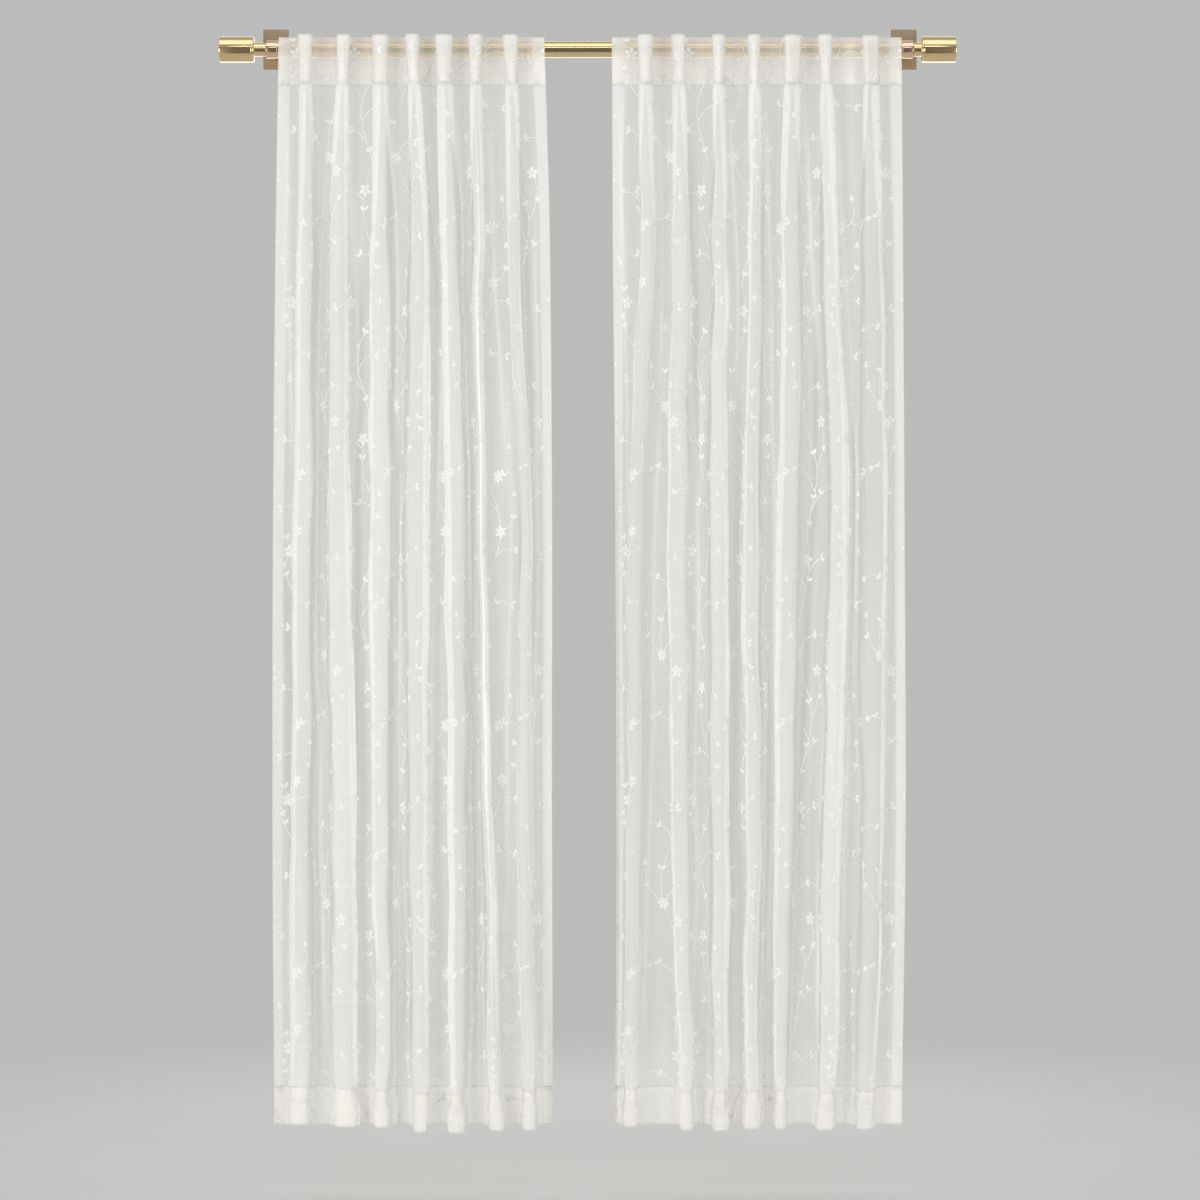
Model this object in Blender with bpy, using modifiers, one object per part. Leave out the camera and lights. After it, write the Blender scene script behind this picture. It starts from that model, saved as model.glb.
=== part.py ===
# A pair of sheer curtains on a brass rod, hung by hidden back tabs and standing in soft forward folds.
# Metres, +Z up. The front faces -Y and the wall is the plane Y = 0.
# The origin is the centre of the back face of the left wall plate.

import math
from collections import namedtuple

import bmesh
import bpy

# Rod and hardware
ROD_DIAMETER = 0.032
ROD_PROJECTION = 0.089  # from the wall to the rod's centre
ROD_BELOW_PLATE = 0.013  # the rod's centre below the centre of the wall plates
BRACKET_SPAN = 1.250  # from cup to cup
CUP_WIDTH = 0.021
CUP_WALL = 0.0012
ARM_DIAMETER = 0.014
PLATE_WIDTH = 0.051
PLATE_HEIGHT = 0.080
PLATE_THICKNESS = 0.004
PLATE_EDGE = 0.001
FINIAL_DIAMETER = 0.0505
FINIAL_LENGTH = 0.067
FINIAL_CHAMFER = 0.0015
NECK_DIAMETER = 0.027
LEFT_NECK_LENGTH = 0.025
RIGHT_NECK_LENGTH = 0.017
ROUND_SIDES = 32

# Cloth
PANEL_DROP = 2.134  # heading's top to hem
HEADING_RISE = 0.021  # heading's top above the rod's centre
HEADING_DEPTH = 0.095  # the turned-down hem at the top
CLOTH = 0.0015
GAP = 0.0003  # between pieces that touch
FOLD_CLOTH = 0.173  # cloth from one fold's middle to the next
EDGE_CLOTH = 0.115  # cloth from a side edge to the nearest fold's middle
FOLD_NECK = 0.006  # between the two walls of a fold at the rod
HEM_NECK = 0.014  # and at the hem, if the fold stayed closed behind
OPEN_FROM = 0.08  # below this drop the folds open behind
OPEN_OVER = 0.60  # until they are fully open, this much lower
OPEN_SHARE = 0.90  # of a fold's width that is then open behind
ASIDE_SPARE = 0.004  # how far the opening may reach past the fold's front
HEAD_ROUND = 0.012  # depth of the rounded front of a fold
NECK_ROUND = 0.005
LEAST_WALL = 1.2  # a fold's wall is at least this many times its sideways reach
TROUGH_START = 0.15  # the flats lie straight on the rod down to here
EDGE_TROUGH = 0.008
TROUGH_SHARE = 0.55  # a trough's greatest depth as a share of its width
LEAST_FLAT = 0.008  # between two folds

# Back tabs
TAB_WIDTH = 0.038
TAB_CLOTH = 0.0012
TAB_TOP = 0.0195  # above the rod's centre
TAB_END = HEADING_RISE - HEADING_DEPTH + 0.002  # just inside the heading's lower seam
TAB_FOOT = TAB_END + 0.006  # where the tab meets the heading again
TAB_ARC_STEPS = 8

# Each level is measured down from the heading's top.
LEVELS = (0.0, 0.40, 0.95, 1.55, PANEL_DROP)
WIDTH_LEVELS = (0.0, 0.95, PANEL_DROP)
ROWS = (0.0, 0.05, 0.11, 0.25, 0.42, 0.60, 0.80, 1.00, 1.20, 1.40, 1.60, 1.80, 1.98, PANEL_DROP)

# A fold's middle at each level, in millimetres from the left cup, the width of its rounded front
# at the top, halfway and at the hem, how far that front leans to the right of its foot halfway down,
# the share of its cloth that stands forward halfway down, how far it sags below the hem line,
# the depth of the trough to its right at the hem, and how far its opening behind lies to its right.
Fold = namedtuple(
    "Fold",
    "top shoulder waist knee hem wide_top wide_waist wide_hem lean full sag trough aside",
)
LEFT_FOLDS = (
    Fold(69, 71, 66, 62, 58, 27, 38, 42, -2, 1.0, -5, 17, 6),
    Fold(144, 133, 130, 139, 148, 26, 48, 50, 4, 1.0, 1, 14, -7),
    Fold(216, 219, 219, 219, 222, 31, 44, 30, -5, 1.0, 1, 18, 8),
    Fold(278, 287, 277, 284, 294, 26, 46, 29, 9, 1.0, 9, 15, -6),
    Fold(340, 352, 368, 372, 367, 32, 42, 32, -6, 1.0, 11, 19, 9),
    Fold(401, 404, 411, 424, 442, 28, 16, 29, 3, 0.5, 6, 13, -4),
    Fold(470, 477, 495, 492, 508, 29, 26, 30, 5, 0.8, 3, 10, 6),
)
RIGHT_FOLDS = (
    Fold(734, 738, 719, 716, 706, 29, 31, 29, -4, 0.7, -3, 15, -7),
    Fold(798, 799, 797, 800, 817, 26, 42, 28, 3, 0.9, 6, 13, 7),
    Fold(877, 879, 877, 877, 881, 25, 37, 32, 2, 0.8, 6, 17, -5),
    Fold(946, 951, 944, 948, 941, 25, 31, 30, -4, 0.8, 2, 14, 8),
    Fold(1022, 1020, 1020, 1008, 999, 32, 43, 27, -5, 1.0, 2, 18, 8),
    Fold(1085, 1095, 1108, 1097, 1088, 27, 40, 38, 4, 1.0, 7, 16, -9),
    Fold(1174, 1178, 1179, 1177, 1163, 32, 48, 35, 3, 1.0, 5, 12, -10),
)
# A side edge of a panel at each level, in millimetres from the left cup.
Edge = namedtuple("Edge", "top shoulder waist knee hem")
LEFT_EDGES = (Edge(14, 8, 3, 2, 6), Edge(536, 547, 551, 551, 552))
RIGHT_EDGES = (Edge(668, 670, 675, 677, 675), Edge(1237, 1240, 1243, 1245, 1237))

ROD_Y = -ROD_PROJECTION
ROD_Z = -ROD_BELOW_PLATE
ROD_RADIUS = ROD_DIAMETER / 2
HEADING_TOP = ROD_Z + HEADING_RISE
FLAT_Y = ROD_Y - ROD_RADIUS - GAP - CLOTH / 2  # the cloth's middle where it lies on the rod


def new_material(name, color, roughness, metallic):
    material = bpy.data.materials.new(name)
    material.use_nodes = True
    shader = material.node_tree.nodes["Principled BSDF"]
    shader.inputs["Base Color"].default_value = (*color, 1.0)
    shader.inputs["Roughness"].default_value = roughness
    shader.inputs["Metallic"].default_value = metallic
    return material


def add_object(name, mesh, collection, material):
    obj = bpy.data.objects.new(name, mesh)
    mesh.materials.clear()
    mesh.materials.append(material)
    collection.objects.link(obj)
    return obj


def cylinder_mesh(name, radius, length):
    """A cylinder along X, centred on the origin."""
    mesh = bpy.data.meshes.new(name)
    bm = bmesh.new()
    bmesh.ops.create_cone(
        bm, cap_ends=True, segments=ROUND_SIDES, radius1=radius, radius2=radius, depth=length
    )
    for vert in bm.verts:
        vert.co = (vert.co.z, vert.co.y, -vert.co.x)
    bm.to_mesh(mesh)
    bm.free()
    mesh.shade_smooth()
    mesh.set_sharp_from_angle(angle=math.radians(40))
    return mesh


def at_levels(levels, values, drop):
    """The value at a drop, on a smooth curve through the values at the levels."""
    index = max(i for i, level in enumerate(levels[:-1]) if level <= drop or i == 0)
    low, high = levels[index], levels[index + 1]

    def slope(i):
        before, after = max(i - 1, 0), min(i + 1, len(levels) - 1)
        return (values[after] - values[before]) / (levels[after] - levels[before])

    span = high - low
    t = min(max((drop - low) / span, 0.0), 1.0)
    rise = values[index + 1] - values[index]
    start, end = slope(index) * span, slope(index + 1) * span
    return values[index] + t * (start + t * (3 * rise - 2 * start - end + t * (start + end - 2 * rise)))


def quarter_ellipse(a, b):
    return math.pi / 4 * (3 * (a + b) - math.sqrt((3 * a + b) * (a + 3 * b)))


def fold_depth(half_cloth, width, neck):
    """How far a fold stands forward when half of it has this much cloth."""
    sideways = (width - neck) / 2
    wall = max(half_cloth - quarter_ellipse(width / 2, HEAD_ROUND), LEAST_WALL * sideways)
    return HEAD_ROUND + math.sqrt(wall**2 - sideways**2)


def trough_ramp(drop):
    """0 down to the troughs' start, then rising smoothly to 1 at the hem."""
    t = max(drop - TROUGH_START, 0.0) / (PANEL_DROP - TROUGH_START)
    return t * (2 - t)


def fold_openings(folds, feet, widths, closed, drop):
    """Where the opening behind each fold begins and ends across the panel, from left to right."""
    t = min(max((drop - OPEN_FROM) / OPEN_OVER, 0.0), 1.0)
    opened = t * t * (3 - 2 * t)
    openings = []
    for fold, foot, width in zip(folds, feet, widths):
        neck = closed + max(width * OPEN_SHARE - closed, 0.0) * opened
        most = (width - neck) / 2 + ASIDE_SPARE
        middle = foot + min(max(fold.aside / 1000 * opened, -most), most)
        openings.append([middle - neck / 2, middle + neck / 2])
    for before, after in zip(openings, openings[1:]):
        short = max(LEAST_FLAT + 2 * NECK_ROUND - (after[0] - before[1]), 0.0)
        before[1] -= short / 2
        after[0] += short / 2
    return openings


def panel_row(folds, edges, drop):
    """The cloth's middle line across a panel at one drop, as (x, y, z) points from left to right."""
    level = HEADING_TOP - drop
    feet = [at_levels(LEVELS, fold[:5], drop) / 1000 for fold in folds]
    left, right = (at_levels(LEVELS, edge, drop) / 1000 for edge in edges)
    halfway = math.sin(math.pi * drop / PANEL_DROP)
    ramp = trough_ramp(drop)
    closed = FOLD_NECK + (HEM_NECK - FOLD_NECK) * drop / PANEL_DROP
    widths = [
        at_levels(WIDTH_LEVELS, (fold.wide_top, fold.wide_waist, fold.wide_hem), drop) / 1000
        for fold in folds
    ]
    openings = fold_openings(folds, feet, widths, closed, drop)
    points = []

    def add_flat(start, end, trough, shares):
        deepest = min(trough, (end - start) * TROUGH_SHARE)
        for share in shares:
            back = deepest * ramp * math.sin(math.pi * share) ** 2
            points.append((start + share * (end - start), FLAT_Y + back, level))

    add_flat(left, openings[0][0] - NECK_ROUND, EDGE_TROUGH, (0.0, 0.35, 0.7))
    for i, fold in enumerate(folds):
        foot = feet[i]
        to_left = (FOLD_CLOTH - (foot - feet[i - 1])) / 2 if i else EDGE_CLOTH - (foot - left)
        to_right = (
            (FOLD_CLOTH - (feet[i + 1] - foot)) / 2 if i + 1 < len(folds) else EDGE_CLOTH - (right - foot)
        )
        half_cloth = (to_left + to_right + closed) / 2
        width = widths[i]
        depth = fold_depth(half_cloth, width, closed) * (1 - (1 - fold.full) * halfway)
        head = foot + fold.lean / 1000 * halfway
        droop = fold.sag / 1000 * (drop / PANEL_DROP) ** 3
        side = FLAT_Y - depth + HEAD_ROUND
        for sign, back in zip((-1, 1), openings[i]):
            half = [
                (back + sign * NECK_ROUND, FLAT_Y, level),
                (back, FLAT_Y - NECK_ROUND * 0.7, level),
                (head + sign * width / 2, side, level - droop * 0.7),
                (head + sign * width * 0.36, side - HEAD_ROUND * 0.7, level - droop),
            ]
            if sign < 0:
                points.extend(half)
                points.append((head, FLAT_Y - depth, level - droop))
            else:
                points.extend(reversed(half))
        start = openings[i][1] + NECK_ROUND
        if i + 1 < len(folds):
            add_flat(start, openings[i + 1][0] - NECK_ROUND, fold.trough / 1000, (0.33, 0.67))
        else:
            add_flat(start, right, EDGE_TROUGH, (0.3, 0.65, 1.0))
    return points


def sheet_mesh(name, rows):
    """A grid whose rows run through the given points."""
    mesh = bpy.data.meshes.new(name)
    columns = len(rows[0])
    bm = bmesh.new()
    bmesh.ops.create_grid(bm, x_segments=columns - 1, y_segments=len(rows) - 1, size=0.5)
    for vert in bm.verts:
        column = round((vert.co.x + 0.5) * (columns - 1))
        row = round((0.5 - vert.co.y) * (len(rows) - 1))
        vert.co = rows[row][column]
    bm.to_mesh(mesh)
    bm.free()
    mesh.shade_smooth()
    return mesh


def add_sheet(name, rows, thickness, collection, material):
    obj = add_object(name, sheet_mesh(name, rows), collection, material)
    solid = obj.modifiers.new("Thickness", "SOLIDIFY")
    solid.thickness = thickness
    solid.offset = 0.0
    return obj


def tab_path():
    """The tab's middle line in (y, z), from its top end over the back of the rod to the heading."""
    lap = FLAT_Y + CLOTH / 2 + GAP + TAB_CLOTH / 2 - ROD_Y
    around = ROD_RADIUS + GAP + TAB_CLOTH / 2
    reach = math.hypot(lap, TAB_FOOT)
    leave = math.atan2(TAB_FOOT, lap) + math.acos(around / reach)
    path = [(lap, TAB_TOP), (lap / 2, TAB_TOP - 0.0008)]
    for step in range(TAB_ARC_STEPS + 1):
        angle = math.pi / 2 + (leave - math.pi / 2) * step / TAB_ARC_STEPS
        path.append((around * math.cos(angle), around * math.sin(angle)))
    back, low = path[-1]
    path += [((back + lap) / 2, (low + TAB_FOOT) / 2), (lap, TAB_FOOT), (lap, TAB_END)]
    return [(ROD_Y + y, ROD_Z + z) for y, z in path]


def tab_middles(folds, edges):
    """The middle of each flat at the top of a panel, where a tab is sewn."""
    feet = [fold.top / 1000 for fold in folds]
    reach = FOLD_NECK / 2 + NECK_ROUND
    outer = [(edges[0].top / 1000 + feet[0] - reach) / 2, (edges[1].top / 1000 + feet[-1] + reach) / 2]
    return [outer[0], *((a + b) / 2 for a, b in zip(feet, feet[1:])), outer[1]]


def add_panel(side, folds, edges, collection, cloth, tab_cloth):
    add_sheet(f"panel_{side}", [panel_row(folds, edges, drop) for drop in ROWS], CLOTH, collection, cloth)
    across = (-TAB_WIDTH / 2, 0.0, TAB_WIDTH / 2)
    for number, middle in enumerate(tab_middles(folds, edges), start=1):
        rows = [[(middle + x, y, z) for x in across] for y, z in tab_path()]
        add_sheet(f"tab_{side}_{number}", rows, TAB_CLOTH, collection, tab_cloth)


def add_rod(collection, brass):
    length = BRACKET_SPAN + CUP_WIDTH
    mesh = cylinder_mesh("rod", ROD_RADIUS, length)
    rod = add_object("rod", mesh, collection, brass)
    rod.location = (BRACKET_SPAN / 2, ROD_Y, ROD_Z)


def add_finial(name, neck_length, end_x, turn, collection, brass):
    """A turned neck and cap. Its profile runs from the cap's end down to the rod."""
    neck, cap = NECK_DIAMETER / 2, FINIAL_DIAMETER / 2
    tip = neck_length + FINIAL_LENGTH
    profile = [
        (0.0, tip),
        (cap - FINIAL_CHAMFER, tip),
        (cap, tip - FINIAL_CHAMFER),
        (cap, neck_length + FINIAL_CHAMFER),
        (cap - FINIAL_CHAMFER, neck_length),
        (neck, neck_length),
        (neck, 0.0),
        (0.0, 0.0),
    ]
    mesh = bpy.data.meshes.new(name)
    mesh.from_pydata(
        [(radius, 0.0, height) for radius, height in profile],
        [(i, i + 1) for i in range(len(profile) - 1)],
        [],
    )
    finial = add_object(name, mesh, collection, brass)
    turned = finial.modifiers.new("Turned", "SCREW")
    turned.steps = turned.render_steps = ROUND_SIDES
    turned.use_merge_vertices = True
    turned.merge_threshold = 0.00001
    finial.location = (end_x, ROD_Y, ROD_Z)
    finial.rotation_euler = (0.0, turn, 0.0)


def add_bracket(side, x, collection, cutters, brass, bronze):
    """A wall plate, and a cup on an arm that reaches forward to the rod."""
    plate_mesh = bpy.data.meshes.new(f"wall_plate_{side}")
    bm = bmesh.new()
    bmesh.ops.create_cube(bm, size=1.0)
    bmesh.ops.scale(bm, vec=(PLATE_WIDTH, PLATE_THICKNESS, PLATE_HEIGHT), verts=bm.verts)
    bm.to_mesh(plate_mesh)
    bm.free()
    plate = add_object(f"wall_plate_{side}", plate_mesh, collection, bronze)
    plate.location = (x, -PLATE_THICKNESS / 2, 0.0)
    edges = plate.modifiers.new("Edges", "BEVEL")
    edges.width = PLATE_EDGE
    edges.segments = 1

    bore = ROD_RADIUS + GAP
    bracket = add_object(f"bracket_{side}", cylinder_mesh(f"bracket_{side}", bore + CUP_WALL, CUP_WIDTH),
                         collection, brass)
    bracket.location = (x, ROD_Y, ROD_Z)

    start = -PLATE_THICKNESS - GAP
    end = ROD_Y + bore / 2
    arm_mesh = cylinder_mesh(f"arm_cutter_{side}", ARM_DIAMETER / 2, start - end)
    arm = add_object(f"arm_cutter_{side}", arm_mesh, cutters, brass)
    arm.rotation_euler = (0.0, 0.0, math.pi / 2)
    arm.location = (x, (start + end) / 2, ROD_Z)
    hole_mesh = cylinder_mesh(f"bore_cutter_{side}", bore, 2 * CUP_WIDTH)
    hole = add_object(f"bore_cutter_{side}", hole_mesh, cutters, brass)
    hole.location = (x, ROD_Y, ROD_Z)
    for cutter, operation in ((arm, "UNION"), (hole, "DIFFERENCE")):
        cutter.hide_render = True
        cutter.display_type = "WIRE"
        cut = bracket.modifiers.new(operation.title(), "BOOLEAN")
        cut.operation = operation
        cut.object = cutter


def main():
    for obj in list(bpy.data.objects):
        bpy.data.objects.remove(obj, do_unlink=True)
    collection = bpy.data.collections.new("Sheer curtain pair on rod")
    cutters = bpy.data.collections.new("Cutters")
    bpy.context.scene.collection.children.link(collection)
    bpy.context.scene.collection.children.link(cutters)

    brass = new_material("Satin brass", (0.72, 0.53, 0.25), 0.28, 1.0)
    copper = new_material("Rose brass", (0.74, 0.50, 0.33), 0.26, 1.0)
    bronze = new_material("Brushed bronze", (0.36, 0.27, 0.17), 0.42, 1.0)
    voile = new_material("Ivory voile", (0.90, 0.89, 0.85), 0.85, 0.0)
    tab_voile = new_material("Tab voile", (0.92, 0.91, 0.88), 0.85, 0.0)

    add_rod(collection, brass)
    rod_end = CUP_WIDTH / 2 + GAP
    add_finial("finial_left", LEFT_NECK_LENGTH, -rod_end, -math.pi / 2, collection, brass)
    add_finial("finial_right", RIGHT_NECK_LENGTH, BRACKET_SPAN + rod_end, math.pi / 2, collection, brass)
    add_bracket("left", 0.0, collection, cutters, copper, bronze)
    add_bracket("right", BRACKET_SPAN, collection, cutters, copper, bronze)
    add_panel("left", LEFT_FOLDS, LEFT_EDGES, collection, voile, tab_voile)
    add_panel("right", RIGHT_FOLDS, RIGHT_EDGES, collection, voile, tab_voile)


main()
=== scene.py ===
import math

import bmesh
import bpy
import numpy as np
from mathutils import Matrix, Vector


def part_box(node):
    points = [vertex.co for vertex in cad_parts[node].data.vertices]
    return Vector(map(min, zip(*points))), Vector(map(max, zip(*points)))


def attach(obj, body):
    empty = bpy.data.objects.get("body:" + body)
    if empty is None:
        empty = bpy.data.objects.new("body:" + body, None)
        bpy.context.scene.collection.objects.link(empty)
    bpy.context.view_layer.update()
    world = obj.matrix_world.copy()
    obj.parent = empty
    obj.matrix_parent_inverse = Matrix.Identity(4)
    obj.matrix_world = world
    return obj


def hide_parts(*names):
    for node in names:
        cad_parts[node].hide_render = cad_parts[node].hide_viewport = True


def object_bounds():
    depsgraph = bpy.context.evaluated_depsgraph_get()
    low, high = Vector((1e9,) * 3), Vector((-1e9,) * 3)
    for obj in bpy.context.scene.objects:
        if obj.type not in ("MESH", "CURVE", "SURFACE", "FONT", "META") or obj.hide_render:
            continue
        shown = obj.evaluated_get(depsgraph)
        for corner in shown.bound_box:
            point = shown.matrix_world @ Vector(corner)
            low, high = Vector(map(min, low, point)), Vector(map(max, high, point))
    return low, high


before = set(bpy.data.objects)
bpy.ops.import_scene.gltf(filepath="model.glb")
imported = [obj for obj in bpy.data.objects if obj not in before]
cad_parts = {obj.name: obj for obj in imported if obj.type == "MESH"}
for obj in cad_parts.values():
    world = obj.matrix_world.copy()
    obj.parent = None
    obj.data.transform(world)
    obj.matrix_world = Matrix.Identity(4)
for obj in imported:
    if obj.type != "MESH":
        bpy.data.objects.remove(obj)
cadBox = [list(corner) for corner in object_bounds()]
print("frame loaded:", len(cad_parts), "nodes")

# the camera, straight on, a little below the middle of the drop

cameraValues = {"place": (0.645, -7.089, -1.096), "fromRod": 7.0, "widthAtRod": 2.361}

cameraData = bpy.data.cameras.new("camera")
cameraData.sensor_fit = "HORIZONTAL"
cameraData.angle = 2 * math.atan(cameraValues["widthAtRod"] / 2 / cameraValues["fromRod"])
camera = bpy.data.objects.new("camera", cameraData)
camera.location = cameraValues["place"]
camera.rotation_euler = (math.pi / 2, 0, 0)
bpy.context.scene.collection.objects.link(camera)
bpy.context.scene.camera = camera


# node writing, for finishes and for what repeats

class Link:
    # a socket that adds and multiplies like a number
    def __init__(self, board, socket):
        self.board, self.socket = board, socket

    def __add__(self, other):
        return self.board.reckon("ADD", self, other)

    def __radd__(self, other):
        return self.board.reckon("ADD", other, self)

    def __sub__(self, other):
        return self.board.reckon("SUBTRACT", self, other)

    def __rsub__(self, other):
        return self.board.reckon("SUBTRACT", other, self)

    def __mul__(self, other):
        return self.board.reckon("MULTIPLY", self, other)

    def __rmul__(self, other):
        return self.board.reckon("MULTIPLY", other, self)


class Board:
    def __init__(self, tree):
        self.tree = tree
        self.tree.nodes.clear()

    def node(self, kind, sockets=None, **settings):
        made = self.tree.nodes.new(kind)
        for name, value in settings.items():
            setattr(made, name, value)
        for name, value in (sockets or {}).items():
            if isinstance(value, Link):
                self.tree.links.new(value.socket, made.inputs[name])
            else:
                made.inputs[name].default_value = value
        return made

    def link(self, kind, sockets=None, output=0, **settings):
        return Link(self, self.node(kind, sockets, **settings).outputs[output])

    def reckon(self, operation, first, second=0.0):
        return self.link("ShaderNodeMath", {0: first, 1: second}, operation=operation)

    def parts(self, vector):
        split = self.node("ShaderNodeSeparateXYZ", {"Vector": vector})
        return [Link(self, output) for output in split.outputs]


class Shader(Board):
    def __init__(self, name):
        self.material = bpy.data.materials.new(name)
        self.material.use_nodes = True
        super().__init__(self.material.node_tree)

    def objectPlace(self):
        return self.link("ShaderNodeTexCoord", output="Object")

    def noise(self, place, scale, detail=2.0, rough=0.5):
        mapped = self.link("ShaderNodeMapping", {"Vector": place, "Scale": scale})
        return self.link("ShaderNodeTexNoise", {
            "Vector": mapped, "Scale": 1.0, "Detail": detail, "Roughness": rough})

    def blendColours(self, factor, first, second):
        return self.link("ShaderNodeMix", {0: factor, 6: first, 7: second}, 2, data_type="RGBA")

    def within(self, amount):
        return self.reckon("MINIMUM", self.reckon("MAXIMUM", amount), 1.0)

    def bump(self, height, distance, strength):
        return self.link("ShaderNodeBump", {"Height": height, "Distance": distance, "Strength": strength})

    def finish(self, surface):
        output = self.node("ShaderNodeOutputMaterial")
        self.tree.links.new(surface.socket, output.inputs["Surface"])
        return self.material


class Maker(Board):
    # a Geometry Nodes tree with named inputs, run once and kept as a plain mesh
    def __init__(self, name, inputs):
        super().__init__(bpy.data.node_groups.new(name, "GeometryNodeTree"))
        addSocket = self.tree.interface.new_socket
        addSocket("Geometry", in_out="INPUT", socket_type="NodeSocketGeometry")
        for label, kind in inputs.items():
            addSocket(label, in_out="INPUT", socket_type="NodeSocket" + kind)
        addSocket("Geometry", in_out="OUTPUT", socket_type="NodeSocketGeometry")
        self.entry = self.tree.nodes.new("NodeGroupInput")

    def given(self, label):
        return Link(self, self.entry.outputs[label])

    def shapeOf(self, label):
        return self.link("GeometryNodeObjectInfo", {"Object": self.given(label)}, "Geometry")

    def stored(self, label):
        return self.link("GeometryNodeInputNamedAttribute", {"Name": label}, data_type="FLOAT_VECTOR")

    def realized(self, geometry):
        return self.link("GeometryNodeRealizeInstances", {"Geometry": geometry})

    def without(self, geometry, chosen):
        return self.link("GeometryNodeDeleteGeometry", {"Geometry": geometry, "Selection": chosen})

    def below(self, first, second):
        return self.link("FunctionNodeCompare", {0: first, 1: second}, operation="LESS_THAN")

    def opposite(self, truth):
        return self.link("FunctionNodeBooleanMath", {0: truth}, operation="NOT")

    def finish(self, geometry, material):
        painted = self.link("GeometryNodeSetMaterial", {
            "Geometry": self.realized(geometry), "Material": material})
        self.node("NodeGroupOutput", {"Geometry": painted})

    def run(self, piece, values):
        modifier = piece.modifiers.new("made by nodes", "NODES")
        modifier.node_group = self.tree
        for item in self.tree.interface.items_tree:
            if item.in_out == "INPUT" and item.name in values:
                modifier[item.identifier] = values[item.name]
        bpy.context.view_layer.update()
        made = bpy.data.meshes.new_from_object(piece.evaluated_get(bpy.context.evaluated_depsgraph_get()))
        piece.modifiers.remove(modifier)
        made.name = piece.name
        piece.data = made
        return piece


def addPiece(name, mesh, *materials):
    piece = bpy.data.objects.new(name, mesh)
    for material in materials:
        mesh.materials.append(material)
    bpy.context.scene.collection.objects.link(piece)
    return piece


def plainMesh(name, mesh):
    made = bpy.data.meshes.new(name)
    mesh.to_mesh(made)
    mesh.free()
    return made


# voile, thread and metal

voileValues = {
    "ivory": (0.92, 0.908, 0.872, 1), "milky": (0.94, 0.934, 0.91, 1), "lit": (0.92, 0.91, 0.88, 1),
    "cream": (0.925, 0.893, 0.815, 1), "cover": 0.33, "tabCover": 0.39, "slub": 0.15, "cloud": 0.07,
    # crowded: how much the crowding adds to the cover, partly a painted brightness of the fold edges
    "weave": 0.10, "threadPitch": 0.0009, "glow": 0.25, "roughness": 0.85, "sheen": 0.1, "crowdedAndEdgeLit": 0.60,
    # the cream of the doubled heading and hem, and their edges on the cloth's map
    "creamHeading": 0.05, "creamHem": 0.32, "headingEdge": 0.2145, "hemEdge": 2.1785, "edgeSharp": 400.0,
}


def makeVoile(name, cover):
    v = voileValues
    shader = Shader(name)
    cloth = shader.link("ShaderNodeUVMap", uv_map="cloth")
    warpSlub = shader.noise(cloth, (640, 7, 1), 3)
    weftSlub = shader.noise(cloth, (14, 600, 1), 3)
    cloud = shader.noise(cloth, (9, 4, 1), 2)
    across, down = shader.parts(cloth)[:2]
    turn = 2 * math.pi / v["threadPitch"]
    weave = (shader.reckon("SINE", across * turn) + shader.reckon("SINE", down * turn)) * 0.25
    body = (warpSlub - 0.5) * v["slub"] + (weftSlub - 0.5) * v["slub"]
    # threads crowd along the crisp front edges of the folds, and there cover is also added as painted
    # brightness of cloth seen edge-on; the walls lose cover as painted shade
    crowd = shader.link("ShaderNodeAttribute", output="Fac", attribute_name="crowd")
    alpha = body + (cloud - 0.5) * v["cloud"] + weave * v["weave"] + crowd * v["crowdedAndEdgeLit"] + cover
    inHeading = shader.within((v["headingEdge"] - down) * v["edgeSharp"])
    inHem = shader.within((down - v["hemEdge"]) * v["edgeSharp"])
    border = inHeading * v["creamHeading"] + inHem * v["creamHem"]
    colour = shader.blendColours(border, shader.blendColours(cloud, v["ivory"], v["milky"]), v["cream"])
    bumped = shader.bump(weave + warpSlub * 1.5 + weftSlub, 0.0003, 0.5)
    front = shader.link("ShaderNodeBsdfPrincipled", {
        "Base Color": colour, "Roughness": v["roughness"], "Normal": bumped,
        "Sheen Weight": v["sheen"], "Sheen Roughness": 0.35, "Specular IOR Level": 0.15})
    through = shader.link("ShaderNodeBsdfTranslucent", {"Color": v["lit"], "Normal": bumped})
    threadBody = shader.link("ShaderNodeMixShader", {0: v["glow"], 1: front, 2: through})
    clear = shader.link("ShaderNodeBsdfTransparent")
    return shader.finish(shader.link("ShaderNodeMixShader", {0: alpha, 1: clear, 2: threadBody}))


threadValues = {"white": (0.70, 0.695, 0.678, 1), "bright": (0.76, 0.755, 0.738, 1), "roughness": 0.55}


def makeThread(name):
    v = threadValues
    shader = Shader(name)
    place = shader.objectPlace()
    strands = shader.noise(place, (900, 900, 900), 2)
    tint = shader.noise(place, (25, 25, 25), 1)
    return shader.finish(shader.link("ShaderNodeBsdfPrincipled", {
        "Base Color": shader.blendColours(tint, v["white"], v["bright"]),
        "Roughness": v["roughness"] + (strands - 0.5) * 0.3,
        "Normal": shader.bump(strands, 0.0001, 0.5), "Sheen Weight": 0.1, "Specular IOR Level": 0.2}))


# light, dark, roughness, brush and strength of its marks: brush stretches them, small along the
# brushing and large across it
metalValues = {
    "satin brass": ((0.90, 0.71, 0.40, 1), (0.76, 0.57, 0.29, 1), 0.14, (1600, 14, 14), 0.35),
    "rose brass": ((0.90, 0.68, 0.48, 1), (0.72, 0.51, 0.35, 1), 0.14, (1600, 14, 14), 0.35),
    "brushed bronze": ((0.52, 0.41, 0.275, 1), (0.27, 0.205, 0.135, 1), 0.44, (1500, 40, 12), 1.0),
}
metalWear = 0.3


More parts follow.
